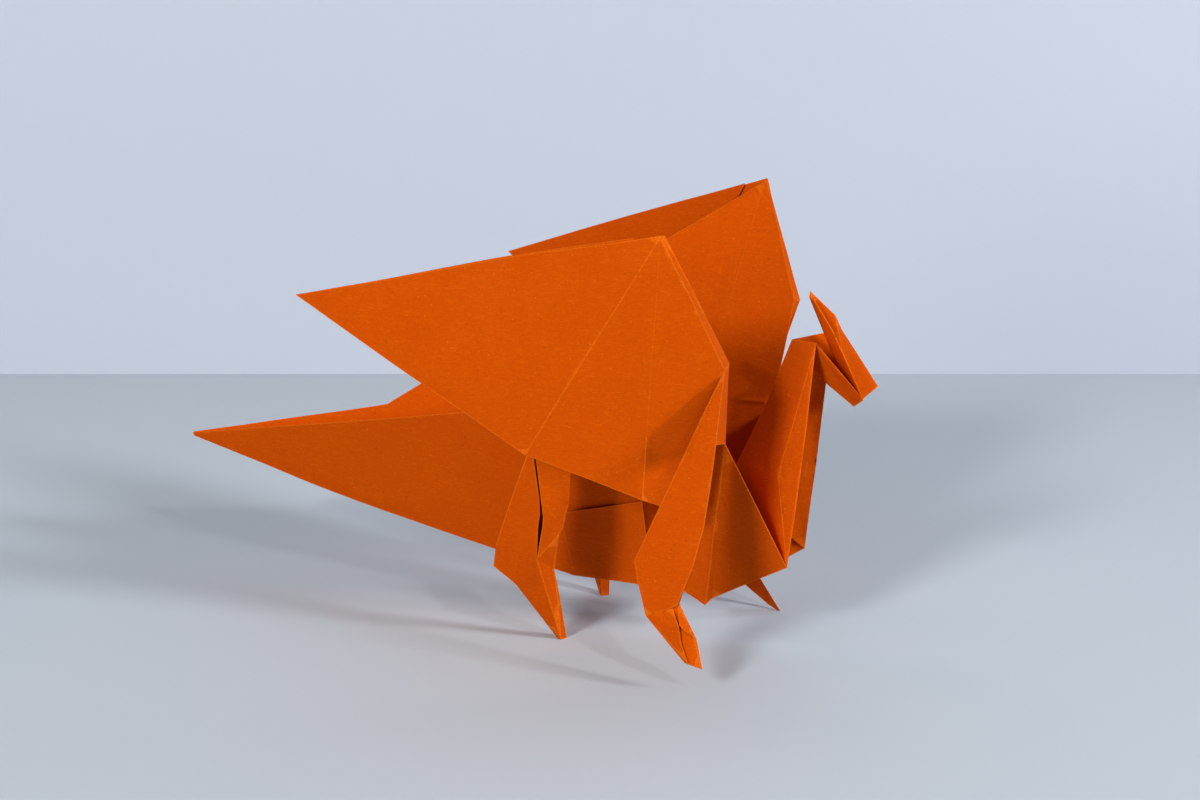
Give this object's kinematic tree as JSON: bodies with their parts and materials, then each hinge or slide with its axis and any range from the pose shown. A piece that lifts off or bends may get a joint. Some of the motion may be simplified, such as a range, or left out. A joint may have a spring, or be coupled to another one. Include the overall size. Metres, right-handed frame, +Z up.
{
  "type": "folded paper dragon",
  "caption": "Origami dragon folded from one square sheet of orange paper: keeled body, long pointed tail, raised wings, bent legs and a small head with a swept-back horn.",
  "frame": {"origin": "centre of the overall box, on the plane it stands on", "axes": "+X towards the snout, +Y towards the dragon's left, +Z up"},
  "size_m": [0.1892, 0.1078, 0.1089],
  "materials": {
    "orange_paper": "matte, coloured through"
  },
  "bodies": {
    "root": {"folded_dragon": "orange_paper"}
  },
  "joints": []
}
